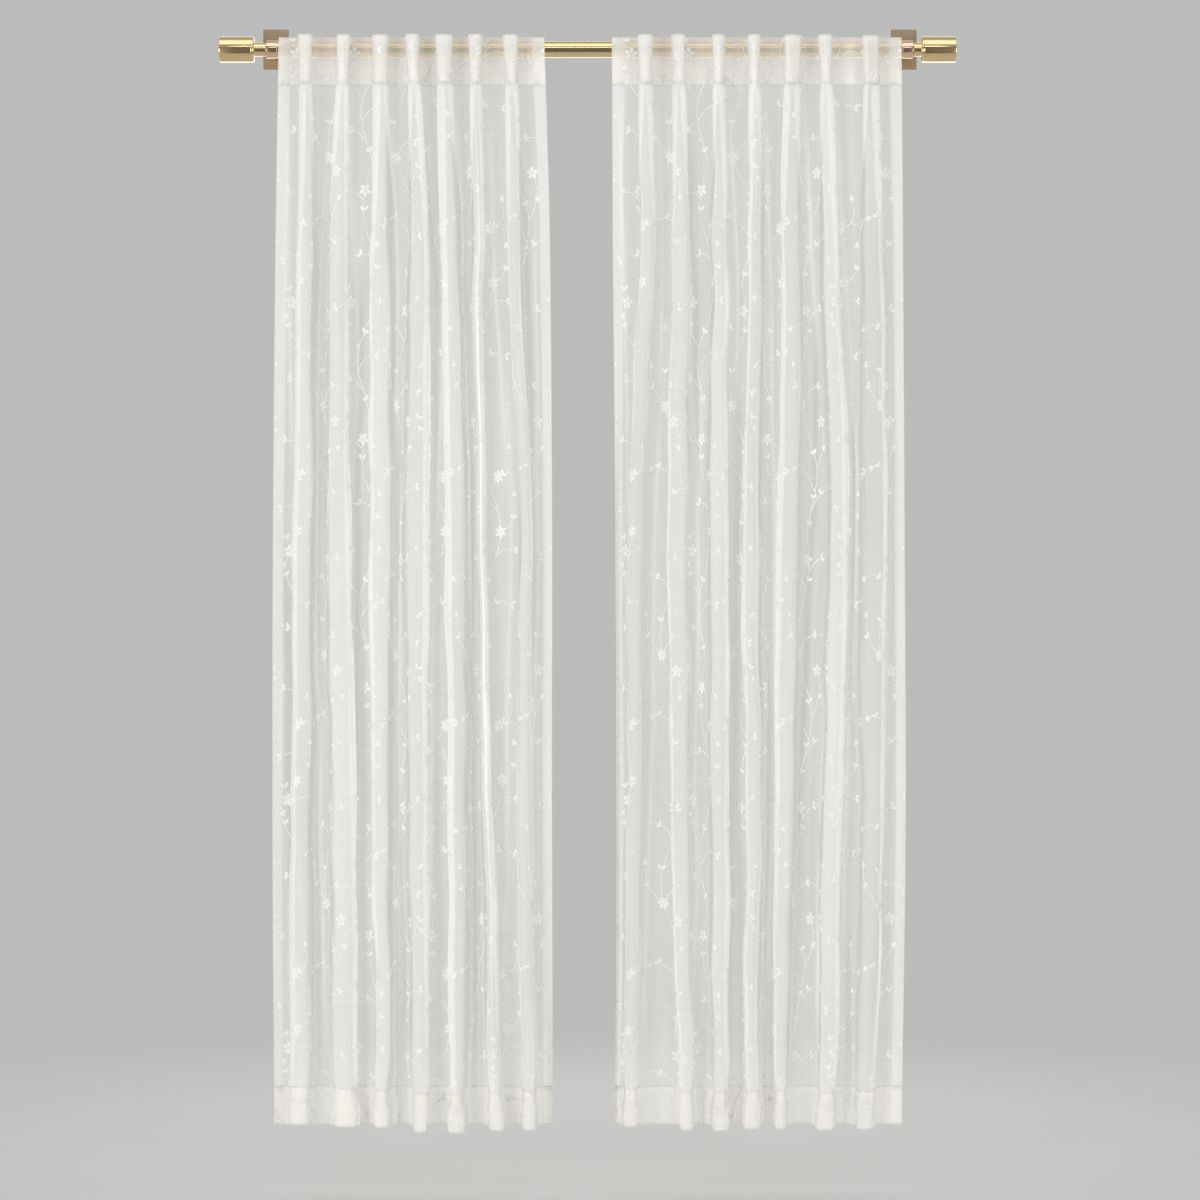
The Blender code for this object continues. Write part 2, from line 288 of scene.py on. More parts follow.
def makeMetal(name, light, dark, roughness, brush, marked):
    shader = Shader(name)
    place = shader.objectPlace()
    marks = shader.noise(place, brush, 4, 0.6)
    patch = shader.noise(place, (30, 30, 30), 3)
    tone = (marks - 0.5) * marked + (patch - 0.5) * metalWear + 0.6
    return shader.finish(shader.link("ShaderNodeBsdfPrincipled", {
        "Base Color": shader.blendColours(tone, dark, light), "Metallic": 1.0,
        "Roughness": roughness + (marks - 0.5) * 0.1 + (patch - 0.5) * 0.06,
        "Normal": shader.bump(marks, 0.00005, marked * 0.5)}))


voile = makeVoile("ivory voile", voileValues["cover"])
tabVoile = makeVoile("tab voile", voileValues["tabCover"])
thread = makeThread("white thread")
satinBrass, roseBrass, brushedBronze = (makeMetal(name, *values) for name, values in metalValues.items())
print("materials made")


# panels: folds in mm from the left cup, level by level, as the frame has them

rodValues = {"y": -0.089, "z": -0.013, "radius": 0.016}
panelValues = {
    "width": 1.270, "drop": 2.134, "headingRise": 0.021, "clear": 0.00165,
    "headingTurn": 0.095, "hemTurn": 0.076, "sideTurn": 0.025, "rawTurn": 0.010,
    "layer": 0.00035, "columns": 560, "rows": 122, "roundReach": 0.007, "roundLift": 0.0004,
    # each fold's share of the cloth, and its neck: narrow at the rod, open further down
    "edgeCloth": 0.115, "foldCloth": 0.173, "neckTop": 0.0015, "neckHem": 0.006,
    "openFrom": 0.04, "openOver": 0.36, "openShare": 0.93, "asideSpare": 0.0015, "leastFlat": 0.008,
    "headRound": 0.012, "neckRound": 0.005, "leastWall": 1.2,
    "troughStart": 0.15, "troughShare": 0.55, "edgeTrough": 0.008,
    # how much folds wander once they hang free
    "looseFrom": 0.07, "looseOver": 0.35,
    "footWaver": 0.0024, "widthWaver": 0.11, "neckWaver": 0.003, "headWaver": 0.003,
    # wider or narrower near the top or the hem: distance from it, reach and share
    "headFlare": (0.0, 0.014, 0.10), "headPinch": (0.075, 0.035, 0.20),
    "hemWaist": (0.066, 0.026, 0.24), "hemSwell": (0.030, 0.022, 0.14),
    # crowded threads, and painted light: more cover at fold edges and fronts to make them brighter, less on
    # the walls to make them darker
    "crispReach": 0.044, "leastBend": 50.0, "creaseCrowdAndLight": 0.10, "frontCrowdAndLight": 0.31, "wallPaintedShade": 0.12,
    "crispVary": 0.35, "frontVary": 0.25,
}
levels = (0.0, 0.40, 0.95, 1.55, 2.134)
widthLevels = (0.0, 0.95, 2.134)
# foot at five levels, width at three, lean, fullness, sag at the hem, depth of the trough after it
foldTables = {
    "left": (
        (69, 71, 66, 62, 58, 27, 38, 42, -2, 1.0, -5, 17),
        (144, 133, 130, 139, 148, 26, 48, 50, 4, 1.0, 1, 14),
        (216, 219, 219, 219, 222, 31, 44, 30, -5, 1.0, 1, 18),
        (278, 287, 277, 284, 294, 26, 46, 29, 9, 1.0, 9, 15),
        (340, 352, 368, 372, 367, 32, 42, 32, -6, 1.0, 11, 19),
        (401, 404, 411, 424, 442, 28, 16, 29, 3, 0.5, 6, 13),
        (470, 477, 495, 492, 508, 29, 26, 30, 5, 0.8, 3, 10),
    ),
    "right": (
        (734, 738, 719, 716, 706, 29, 31, 29, -4, 0.7, -3, 15),
        (798, 799, 797, 800, 817, 26, 42, 28, 3, 0.9, 6, 13),
        (877, 879, 877, 877, 881, 25, 37, 32, 2, 0.8, 6, 17),
        (946, 951, 944, 948, 941, 25, 31, 30, -4, 0.8, 2, 14),
        (1022, 1020, 1020, 1008, 999, 32, 43, 27, -5, 1.0, 2, 18),
        (1085, 1095, 1108, 1097, 1088, 27, 40, 38, 4, 1.0, 7, 16),
        (1174, 1178, 1179, 1177, 1163, 32, 48, 35, 3, 1.0, 5, 12),
    ),
}
edgeTables = {
    "left": ((14, 8, 3, 2, 6), (536, 547, 551, 551, 552)),
    "right": ((668, 670, 675, 677, 675), (1237, 1240, 1243, 1245, 1237)),
}
# creases: cloth place from and to (across, down), half width and rise, all in mm, minus for a trough
creaseTables = {
    "left": (
        (20, 100, 45, 900, 7, 2.6), (172, 100, 205, 700, 6, -2.4), (215, 120, 190, 1150, 5, 2.2),
        (335, 100, 372, 550, 7, 2.6), (385, 400, 360, 1600, 6, -2.6), (520, 100, 545, 850, 6, 2.5),
        (570, 550, 540, 1950, 7, 2.4), (700, 100, 725, 620, 5, -2.0), (735, 500, 690, 1900, 6, 2.6),
        (880, 100, 905, 1200, 6, 2.2), (910, 750, 885, 2050, 5, -2.4), (1055, 100, 1080, 950, 6, 2.4),
        (1090, 600, 1060, 2000, 7, 2.6), (1205, 100, 1225, 1300, 6, -2.2), (1235, 300, 1215, 2050, 6, 2.2),
        (30, 950, 60, 2050, 8, -2.6), (180, 800, 215, 2050, 8, 2.8),
    ),
    "right": (
        (18, 100, 50, 1100, 6, 2.4), (60, 600, 30, 2000, 7, -2.4), (185, 100, 210, 800, 5, 2.2),
        (205, 700, 178, 2050, 6, 2.4), (350, 100, 385, 1050, 6, -2.4), (385, 600, 355, 1900, 7, 2.4),
        (530, 100, 552, 750, 6, 2.6), (560, 650, 530, 2000, 6, -2.2), (700, 100, 735, 1250, 6, 2.4),
        (740, 900, 710, 2050, 7, 2.6), (880, 100, 912, 660, 7, 2.8), (905, 500, 868, 1700, 8, -2.8),
        (1045, 100, 1085, 900, 7, 2.6), (1090, 700, 1050, 2050, 8, 2.8), (1200, 100, 1232, 1050, 7, -2.4),
        (1228, 600, 1200, 2050, 8, 2.6),
    ),
}
# how crisp each fold's left edge is, how full its front and how crisp its right edge, that is how much
# painted brightness each gets
crispTables = {
    "left": ((0.7, 0.8, 1.0), (1.0, 0.9, 0.8), (0.4, 0.9, 0.3), (0.7, 0.7, 0.9),
             (0.9, 0.6, 0.4), (0.9, 0.5, 0.6), (0.5, 0.7, 0.9)),
    "right": ((0.8, 0.6, 0.4), (0.4, 0.7, 0.9), (0.9, 0.8, 0.5), (0.9, 0.6, 0.8),
              (1.0, 0.7, 0.8), (1.0, 1.0, 1.0), (0.3, 0.2, 0.8)),
}
# how far each fold's neck lies to one side of its middle, in mm
neckAside = {"left": (6, -7, 8, -6, 9, -4, 6), "right": (-7, 7, -5, 8, 8, -9, -10)}
headingTop = rodValues["z"] + panelValues["headingRise"]
flatY = rodValues["y"] - rodValues["radius"] - panelValues["clear"]
# the cloth's map starts this far in, so that the turned-in cloth has places on it too
flatMargin = (0.03, 0.12)


def ease(t):
    return t * t * (3 - 2 * t)


def softNoise(across, down, sizeAcross, sizeDown, seed):
    # smooth hills and hollows from -1 to 1, of about the two sizes
    heights = np.random.default_rng(seed).uniform(-1, 1, (97, 97))
    x, y = across / sizeAcross + 7.3, down / sizeDown + 11.7
    i, j = np.floor(x).astype(int), np.floor(y).astype(int)
    fx, fy = ease(x - i), ease(y - j)
    i, j = i % 96, j % 96
    low = heights[i, j] * (1 - fx) + heights[i + 1, j] * fx
    high = heights[i, j + 1] * (1 - fx) + heights[i + 1, j + 1] * fx
    return low * (1 - fy) + high * fy


def lengthsAlong(line):
    return np.concatenate([[0], np.cumsum(np.linalg.norm(np.diff(line, axis=0), axis=1))])


def pointsAt(spots, along, line):
    return np.stack([np.interp(spots, along, line[:, axis]) for axis in range(line.shape[1])], axis=1)


def atLevels(marks, values, drop):
    index = max(i for i, level in enumerate(marks[:-1]) if level <= drop or i == 0)

    def slope(i):
        before, after = max(i - 1, 0), min(i + 1, len(marks) - 1)
        return (values[after] - values[before]) / (marks[after] - marks[before])

    span = marks[index + 1] - marks[index]
    t = min(max((drop - marks[index]) / span, 0.0), 1.0)
    rise = values[index + 1] - values[index]
    start, end = slope(index) * span, slope(index + 1) * span
    return values[index] + t * (start + t * (3 * rise - 2 * start - end + t * (start + end - 2 * rise)))


def foldDepth(halfCloth, width, neck):
    v = panelValues
    sideways = (width - neck) / 2
    a, b = width / 2, v["headRound"]
    overHead = math.pi / 4 * (3 * (a + b) - math.sqrt((3 * a + b) * (a + 3 * b)))
    wall = max(halfCloth - overHead, v["leastWall"] * sideways)
    return b + math.sqrt(wall ** 2 - sideways ** 2)


def rowStations(side, drop):
    # the points that one level of a panel is drawn through
    v = panelValues
    folds, edges = foldTables[side], edgeTables[side]
    level = headingTop - drop
    share = drop / v["drop"]
    halfway = math.sin(math.pi * share)
    loose = min(1.0, max(drop - v["looseFrom"], 0.0) / v["looseOver"])
    seed = 10 if side == "left" else 40

    def waver(size, number):
        return float(softNoise(np.array(number * 3.7), np.array(drop), 1.0, size, seed + number))

    def near(name, place):
        middle, reach, strength = v[name]
        return strength * math.exp(-((place - middle) / reach) ** 2)

    waist, swell = near("hemWaist", v["drop"] - drop), near("hemSwell", v["drop"] - drop)
    pinch, flare = near("headPinch", drop), near("headFlare", drop)
    feet = [atLevels(levels, fold[:5], drop) / 1000 + v["footWaver"] * loose * waver(0.16, i)
            for i, fold in enumerate(folds)]
    left, right = (atLevels(levels, edge, drop) / 1000 for edge in edges)
    t = max(drop - v["troughStart"], 0.0) / (v["drop"] - v["troughStart"])
    ramp = t * (2 - t)
    opened = ease(min(max((drop - v["openFrom"]) / v["openOver"], 0.0), 1.0))
    narrow = v["neckTop"] + (v["neckHem"] - v["neckTop"]) * share
    widths, openings = [], []
    for i, fold in enumerate(folds):
        hang = 0.7 + 0.3 * math.sin(i * 2.4 + seed)
        held = 0.6 + 0.4 * math.sin(i * 3.7 + seed)
        spread = v["openShare"] * (0.95 + 0.05 * math.sin(i * 1.9 + seed))
        width = atLevels(widthLevels, fold[5:8], drop) / 1000
        width *= 1 + v["widthWaver"] * loose * waver(0.11, i + 8) + (swell - waist) * hang
        width *= 1 - pinch * held + flare * (1 - 0.5 * held)
        neck = narrow + max(width * spread - narrow, 0) * opened
        aside = (neckAside[side][i] / 1000 + v["neckWaver"] * waver(0.4, i + 24)) * loose
        most = width / 3 + ((width - neck) / 2 + v["asideSpare"] - width / 3) * opened
        middle = feet[i] + min(max(aside, -most), most)
        widths.append(width)
        openings.append([middle - neck / 2, middle + neck / 2])
    bend = v["neckRound"]
    # flats between two folds never close up
    for before, after in zip(openings, openings[1:]):
        short = max(v["leastFlat"] + 2 * bend - (after[0] - before[1]), 0)
        before[1] -= short / 2
        after[0] += short / 2
    points = []

    def addFlat(start, end, trough, shares):
        deep = min(trough, (end - start) * v["troughShare"])
        for part in shares:
            back = deep * ramp * math.sin(math.pi * part) ** 2
            points.append((start + part * (end - start), flatY + back, level))

    addFlat(left, openings[0][0] - bend, v["edgeTrough"], (0.0, 0.35, 0.7))
    for i, fold in enumerate(folds):
        lean, full, sag, trough = fold[8:]
        foot, width = feet[i], widths[i]
        toLeft = (v["foldCloth"] - (foot - feet[i - 1])) / 2 if i else v["edgeCloth"] - (foot - left)
        last = i + 1 == len(folds)
        toRight = v["edgeCloth"] - (right - foot) if last else (v["foldCloth"] - (feet[i + 1] - foot)) / 2
        depth = foldDepth((toLeft + toRight + narrow) / 2, width, narrow) * (1 - (1 - full) * halfway)
        head = foot + lean / 1000 * halfway + v["headWaver"] * loose * waver(0.12, i + 16)
        droop = sag / 1000 * share ** 3
        edgeY = flatY - depth + v["headRound"]
        for sign, back in zip((-1, 1), openings[i]):
            half = [
                (back + sign * bend, flatY, level),
                (back, flatY - bend * 0.7, level),
                ((back + head + sign * width / 2) / 2, (flatY + edgeY) / 2, level - droop * 0.3),
                (head + sign * width / 2, edgeY, level - droop * 0.7),
                (head + sign * width * 0.36, edgeY - v["headRound"] * 0.7, level - droop),
            ]
            points.extend(half if sign < 0 else reversed(half))
            if sign < 0:
                points.append((head, flatY - depth, level - droop))
        start = openings[i][1] + bend
        if last:
            addFlat(start, right, v["edgeTrough"], (0.3, 0.65, 1.0))
        else:
            addFlat(start, openings[i + 1][0] - bend, trough / 1000, (0.33, 0.67))
    return points


def smoothRows(stations, steps):
    # a smooth line through each row's stations
    chord = np.sqrt(np.linalg.norm(np.diff(stations, axis=1), axis=2)) + 1e-9
    rate = np.diff(stations, axis=1) / chord[..., None]
    tangent = np.empty_like(stations)
    tangent[:, 0], tangent[:, -1] = rate[:, 0], rate[:, -1]
    before, after = chord[:, :-1, None], chord[:, 1:, None]
    tangent[:, 1:-1] = (after * rate[:, :-1] + before * rate[:, 1:]) / (before + after)
    t = (np.arange(steps) / steps)[None, None, :, None]
    p0, p1 = stations[:, :-1, None], stations[:, 1:, None]
    m0 = (tangent[:, :-1] * chord[..., None])[:, :, None]
    m1 = (tangent[:, 1:] * chord[..., None])[:, :, None]
    line = ((2 * t ** 3 - 3 * t ** 2 + 1) * p0 + (t ** 3 - 2 * t ** 2 + t) * m0
            + (3 * t ** 2 - 2 * t ** 3) * p1 + (t ** 3 - t ** 2) * m1)
    return np.concatenate([line.reshape(len(stations), -1, stations.shape[2]), stations[:, -1:]], axis=1)


def creases(side, across, down):
    # the long creases, in mm
    rise = across * 0
    for row in creaseTables[side]:
        x0, y0, x1, y1, half = (length / 1000 for length in row[:5])
        t = np.clip((down - y0) / (y1 - y0), 0, 1)
        ends = np.clip(np.minimum(down - y0, y1 - down) / 0.18, 0, 1)
        wander = 0.004 * softNoise(down * 0, down, 1, 0.2, 100 + int(x0 * 100))
        off = (across - x0 - (x1 - x0) * t - wander) / half
        rise += row[5] * ease(ends) * np.exp(-off * off)
    return rise


def foldAt(across):
    # the number of the nearest fold, and how far to the right of its middle
    v = panelValues
    place = across - v["edgeCloth"] + v["foldCloth"] / 2
    number = np.clip(np.floor(place / v["foldCloth"]), 0, 6).astype(int)
    return number, place % v["foldCloth"] - v["foldCloth"] / 2


def wrinkles(side, across, down):
    # how far each spot stands proud of the smooth folds, in metres
    v = panelValues
    seed = 100 if side == "left" else 200
    fromFold = abs(foldAt(across)[1])
    free = np.clip((down - 0.05) / 0.30, 0, 1)
    onWall = np.exp(-((fromFold - 0.026) / 0.009) ** 2)
    onSeam = np.exp(-((down - v["headingTurn"]) / 0.030) ** 2)
    onHemSeam = np.exp(-((down - v["drop"] + v["hemTurn"]) / 0.030) ** 2)
    onHem = np.clip((down - 1.9) / 0.2, 0, 1)
    # seed, size across, size down and height in mm
    layers = (
        (0, 0.021, 0.42, 1.3 * (0.15 + 0.85 * free)), (1, 0.010, 0.17, 0.65 * (0.3 + 0.7 * free)),
        (2, 0.0075, 0.05, 0.35 * free), (6, 0.0056, 0.16, 1.1 * onWall), (3, 0.011, 0.05, 0.9 * onSeam),
        (4, 0.019, 0.05, 1.5 * onHemSeam), (5, 0.045, 0.06, 2.2 * onHem),
    )
    rise = across * 0
    for step, sizeAcross, sizeDown, high in layers:
        rise += softNoise(across, down, sizeAcross, sizeDown, seed + step) * high
    rise += creases(side, across, down)
    # the flats lie smoother where the rod is behind them
    onFlat = np.clip((fromFold - 0.050) / 0.008, 0, 1) * (down < 0.075)
    return (rise + (np.maximum(rise * 0.5, -0.25) - rise) * onFlat) / 1000


def crowdingAndEdgeLight(side, across, down, outward):
    # 1 where the cloth turns sharply at the front of a fold, less between these turns, now weaker now
    # stronger, and under 0 on its walls; partly threads crowding at pressed creases, partly painted
    # brightness on edges and fronts and painted shade on the walls
    v = panelValues
    bend = np.linalg.norm(np.gradient(outward, across, axis=1), axis=2)
    spotAcross, spotDown = np.meshgrid(across, down)
    number, fromFold = foldAt(spotAcross)
    front = np.clip((v["crispReach"] - abs(fromFold)) / 0.006, 0, 1)
    seed = 300 if side == "left" else 400
    leftCrisp, fullness, rightCrisp = np.moveaxis(np.array(crispTables[side])[number], -1, 0)
    crisp = np.where(fromFold > 0, rightCrisp, leftCrisp)
    crisp = crisp + v["crispVary"] * softNoise(number * 3.1 + (fromFold > 0), spotDown, 1.0, 0.45, seed)
    sharp = np.clip((bend - v["leastBend"]) / v["leastBend"], 0, 1) * front
    # the sharp band is widened by a few columns and fades out
    sharp = np.max([np.roll(sharp, step, axis=1) * (1 - abs(step) / 4) for step in range(-3, 4)], axis=0)
    # cloth facing the front gets more cover, a painted brightness of the fold fronts
    facing = np.clip((outward[..., 1] * -1 - 0.55) / 0.3, 0, 1) * front
    between = fullness + v["frontVary"] * softNoise(number * 2.7, spotDown, 1.0, 0.6, seed + 1)
    between *= v["frontCrowdAndLight"] * facing
    # the walls get less cover, a painted shade
    wall = np.clip((abs(outward[..., 0]) - 0.75) / 0.2, 0, 1)
    crease = creases(side, spotAcross, spotDown) * v["creaseCrowdAndLight"]
    full = np.maximum(sharp * np.clip(crisp, 0.15, 1), between)
    return np.clip(full - v["wallPaintedShade"] * wall * (1 - sharp) + crease, -0.4, 1)


def clothRows():
    # (place down the panel, place on the cloth, layer) from the raw edge in the heading to that in the hem
    v = panelValues
    raw = v["rawTurn"]
    headingSteps, hemSteps = 15, 12
    heading = [v["headingTurn"] * i / headingSteps for i in range(headingSteps + 1)]
    hem = [v["drop"] - v["hemTurn"] * i / hemSteps for i in range(hemSteps + 1)]
    start, end = heading[-1], hem[-1]
    rows = [(start - part, -start - part, 2) for part in (raw, raw / 2)]
    rows += [(down, -down, 1) for down in reversed(heading)]
    rows += [(down, down, 0) for down in heading]
    middle = [start + (end - start) * i / v["rows"] for i in range(1, v["rows"])]
    rows += [(down, down, 0) for down in middle]
    rows += [(down, down, 0) for down in reversed(hem)]
    rows += [(down, 2 * v["drop"] - down, 1) for down in hem]
    rows += [(end + part, 2 * v["drop"] - end + part, 2) for part in (raw / 2, raw)]
    return rows


def clothColumns():
    v = panelValues
    side = [v["sideTurn"] * i / 6 for i in range(7)]
    columns = [(across, -across, 1) for across in reversed(side)]
    middle = [v["width"] * i / v["columns"] for i in range(v["columns"] + 1)]
    columns += [(across, across, 0) for across in middle]
    columns += [(v["width"] - across, v["width"] + across, 1) for across in side]
    return columns


def outwardOf(places, across, down):
    alongCloth = np.gradient(places, across, axis=1)
    downCloth = np.gradient(places, down, axis=0)
    outward = np.cross(downCloth, alongCloth)
    return outward / (np.linalg.norm(outward, axis=2, keepdims=True) + 1e-12)


def drape(side, across, down):
    # places, outward directions and crowding, with its painted edge brightness, on the front layer, one row
    # of cloth for each drop
    v = panelValues
    steps, firstFold, perFold = 10, 8, 13
    line = smoothRows(np.array([rowStations(side, drop) for drop in down]), steps)
    knotAt = [0] + [(firstFold + perFold * i) * steps for i in range(7)] + [line.shape[1] - 1]
    knotCloth = [0.0] + [v["edgeCloth"] + v["foldCloth"] * i for i in range(7)] + [v["width"]]
    places = np.empty((len(down), len(across), 3))
    for r, row in enumerate(line):
        along = lengthsAlong(row)
        places[r] = pointsAt(np.interp(across, knotCloth, along[knotAt]), along, row)
    outward = outwardOf(places, across, down)
    crowd = crowdingAndEdgeLight(side, across, down, outward)
    spotAcross, spotDown = np.meshgrid(across, down)
    places = places + outward * wrinkles(side, spotAcross, spotDown)[..., None]
    return places, outwardOf(places, across, down), crowd


def makePanel(side):
    v = panelValues
    rows, columns = clothRows(), clothColumns()
    downFront = sorted({round(row[0], 6) for row in rows})
    acrossFront = sorted({round(column[0], 6) for column in columns})
    places, outward, crowd = drape(side, np.array(acrossFront), np.array(downFront))
    grid = np.ix_([downFront.index(round(row[0], 6)) for row in rows],
                  [acrossFront.index(round(column[0], 6)) for column in columns])
    clothDown, rowLayer = (np.array([row[part] for row in rows])[:, None] for part in (1, 2))
    clothAcross, columnLayer = (np.array([column[part] for column in columns])[None, :] for part in (1, 2))
    behind = np.choose(rowLayer, [0 + columnLayer, 3 - columnLayer, 2 + columnLayer * 0.3]) * v["layer"]
    spots = places[grid] - outward[grid] * behind[..., None]
    # the turned edges are a little rounded
    nearTop = np.clip(1 - abs(clothDown) / v["roundReach"], 0, 1) * (rowLayer < 2)
    spots[..., 2] += v["roundLift"] * nearTop
    count = len(columns)
    corner = (np.arange(len(rows) - 1)[:, None] * count + np.arange(count - 1)[None, :]).ravel()
    faces = np.stack([corner, corner + count, corner + count + 1, corner + 1], axis=1)
    mesh = bpy.data.meshes.new(f"panel_{side}_cloth")
    mesh.from_pydata(spots.reshape(-1, 3).tolist(), [], faces.tolist())
    mesh.shade_smooth()
    onMap = np.broadcast_arrays(clothAcross + flatMargin[0], clothDown + flatMargin[1])
    loops = np.empty(len(mesh.loops), dtype=np.int32)
    mesh.loops.foreach_get("vertex_index", loops)
    uv = mesh.uv_layers.new(name="cloth")
    uv.data.foreach_set("uv", np.stack(onMap, axis=-1).reshape(-1, 2)[loops].astype(np.float32).ravel())
    turned = np.where((rowLayer == 1) ^ (columnLayer == 1), -1.0, 1.0)
    rise = mesh.attributes.new("rise", "FLOAT_VECTOR", "POINT")
    rise.data.foreach_set("vector", (outward[grid] * turned[..., None]).astype(np.float32).ravel())
    # the crowding, partly painted light, is kept on the cloth for its cover
    crowdedAndEdgeLit = mesh.attributes.new("crowd", "FLOAT", "POINT")
    crowdedAndEdgeLit.data.foreach_set("value", crowd[grid].astype(np.float32).ravel())
    print("panel", side, len(mesh.polygons) * 2, "triangles")
    return addPiece(f"cloth_{side}", mesh, voile)


panels = {side: makePanel(side) for side in ("left", "right")}

# embroidery: two vines laid out flat, repeated over the cloth, then wrapped on its folds

vineValues = {
    "repeatWidth": 0.159, "repeatHeight": 0.488, "columns": 10, "rows": 6,
    # in mm; leaves of a pair and of a bud as turn, length and width
    "stem": 2.1, "step": 5.0, "leaf": 12.0, "leafWidth": 7.0, "pairTurns": (42, -38),
    "budLeaves": ((0, 0.95, 1.15), (62, 0.6, 0.6), (-62, 0.6, 0.6)),
    "petal": 11.8, "petalWidth": 8.0, "petalStart": 1.6, "heart": 3.8,
}
# stems, then leaf pairs, buds and blossoms as place and direction, all in mm with up as up
vineLayouts = (
    {
        "stems": (
            ((0, 0), (9, 40), (21, 84), (27, 130), (15, 176), (-5, 214), (-20, 252), (-25, 296), (-15, 338),
             (2, 378), (10, 418), (8, 455), (0, 488)),
            ((9, 40), (24, 68), (46, 86), (75, 93)),
            ((21, 84), (3, 114), (-22, 130), (-48, 134), (-70, 126)),
            ((27, 130), (43, 158), (49, 190), (40, 222)),
            ((-20, 252), (-40, 270), (-57, 296), (-62, 328)),
            ((-20, 252), (0, 278), (26, 291), (52, 290), (72, 280)),
            ((2, 378), (-17, 400), (-42, 410), (-68, 403)),
            ((10, 418), (30, 438), (54, 444), (72, 459)),
            ((49, 190), (64, 204), (76, 226)),
        ),
        "pairs": (
            (75, 93, 10), (36, 80, 60), (-70, 126, 200), (-30, 133, 120), (17, 72, 90), (21, 158, 110),
            (76, 226, 60), (-54, 288, 130), (26, 291, 10), (72, 280, -30), (-24, 318, 85), (-26, 405, 150),
            (8, 398, 60), (40, 442, 20), (5, 20, 70),
        ),
        "buds": ((-62, 328, 96), (72, 459, 48), (-68, 403, 200), (47, 168, 40), (-50, 134, 250)),
        "blossoms": ((40, 222, 20), (-20, 252, 50), (4, 440, 0)),
    },
    {
        "stems": (
            ((0, 0), (-12, 38), (-24, 80), (-22, 124), (-4, 164), (14, 204), (24, 248), (18, 292), (2, 332),
             (-12, 372), (-16, 414), (-10, 452), (0, 488)),
            ((-12, 38), (-32, 58), (-56, 66), (-74, 84)),
            ((-24, 80), (-4, 104), (22, 114), (50, 108), (72, 114)),
            ((-22, 124), (-42, 148), (-50, 180), (-42, 212), (-48, 236)),
            ((24, 248), (46, 262), (62, 288), (60, 320)),
            ((18, 292), (-4, 306), (-30, 306), (-58, 296)),
            ((2, 332), (20, 356), (44, 366), (72, 360)),
            ((-16, 414), (-36, 428), (-62, 430), (-74, 448)),
            ((44, 366), (54, 388), (50, 412)),
            ((14, 204), (34, 216), (58, 214)),
        ),
        "pairs": (
            (-74, 84, 130), (-40, 62, 170), (50, 108, -20), (10, 111, 30), (-46, 164, 110), (-48, 236, 100),
            (-10, 152, 60), (58, 214, 0), (56, 276, 70), (-58, 296, 195), (-16, 306, 150), (72, 360, -15),
            (30, 362, 40), (-14, 392, 90), (-50, 431, 170), (-6, 20, 110),
        ),
        "buds": ((60, 320, 98), (50, 412, 100), (-74, 448, 125), (72, 114, 20), (-50, 186, 190)),
        "blossoms": ((-42, 212, 10), (24, 250, 35), (-14, 432, 55), (20, 358, 25)),
    },
)


class FlatWork:
    # raised shapes laid out flat, in mm
    def __init__(self):
        self.spots, self.faces = [], []

    def addStem(self, points, width):
        # a thin padded line, narrower at its tip
        line = smoothRows(np.array([points], dtype=float), 12)[0]
        along = lengthsAlong(line)
        count = max(2, round(along[-1] / vineValues["step"]))
        spots = np.linspace(0, along[-1], count + 1)
        line = pointsAt(spots, along, line)
        direction = np.gradient(line, spots, axis=0)
        first = len(self.spots)
        for i, ((x, y), (dx, dy)) in enumerate(zip(line, direction)):
            half = width / 2 * (1 - 0.35 * i / count) / math.hypot(dx, dy)
            for across, high in ((-1, 0.15), (0, -0.2), (1, 0.15), (0, 0.55)):
                self.spots.append((x - dy * half * across, y + dx * half * across, high))
            if i:
                now, last = first + 4 * i, first + 4 * i - 4
                self.faces += [(last + k, now + k, now + (k + 1) % 4, last + (k + 1) % 4) for k in range(4)]
        self.faces += [tuple(range(first, first + 4)), tuple(first + 4 * count + k for k in (3, 2, 1, 0))]

    def addPetal(self, x, y, angle, length, width, start=0.0, high=0.5):
        # a rounded leaf or petal, domed on the front and a little on the back
        upper = ((0.22, 0.34), (0.55, 0.5), (0.86, 0.32))
        lower = tuple((along, -across) for along, across in reversed(upper))
        turn = math.radians(angle)
        c, s = math.cos(turn), math.sin(turn)
        first = len(self.spots)
        for along, across in ((0, 0), *upper, (1, 0), *lower, (0.52, 0), (0.52, 0)):
            px, py = start + along * length, across * width
            self.spots.append((x + px * c - py * s, y + px * s + py * c, 0.22))
        for middle, level in ((8, high), (9, -0.2)):
            self.spots[first + middle] = self.spots[first + middle][:2] + (level,)
        for k in range(8):
            after = (k + 1) % 8
            self.faces.append((first + after, first + k, first + 8))
            self.faces.append((first + k, first + after, first + 9))

    def addLayout(self, layout):
        v = vineValues
        for stem in layout["stems"]:
            self.addStem(stem, v["stem"])
        for i, (x, y, angle) in enumerate(layout["pairs"]):
            size = v["leaf"] * (0.9 + 0.2 * math.sin(i * 2.3) ** 2)
            for lean in v["pairTurns"]:
                self.addPetal(x, y, angle + lean, size, v["leafWidth"])
        for x, y, angle in layout["buds"]:
            for lean, long, wide in v["budLeaves"]:
                self.addPetal(x, y, angle + lean, v["leaf"] * long, v["leafWidth"] * wide)
        for i, (x, y, angle) in enumerate(layout["blossoms"]):
            petals = 6 if i % 2 else 5
            wide = v["petalWidth"] * 5.3 / petals
            for k in range(petals):
                self.addPetal(x, y, angle + 360 * k / petals, v["petal"], wide, v["petalStart"])
            self.addPetal(x - v["heart"] / 2, y, 0, v["heart"], v["heart"], 0, 0.6)

    def mesh(self, name):
        made = bpy.data.meshes.new(name)
        made.from_pydata([(x / 1000, y / 1000, z / 1000) for x, y, z in self.spots], [], self.faces)
        made.shade_flat()
        return made


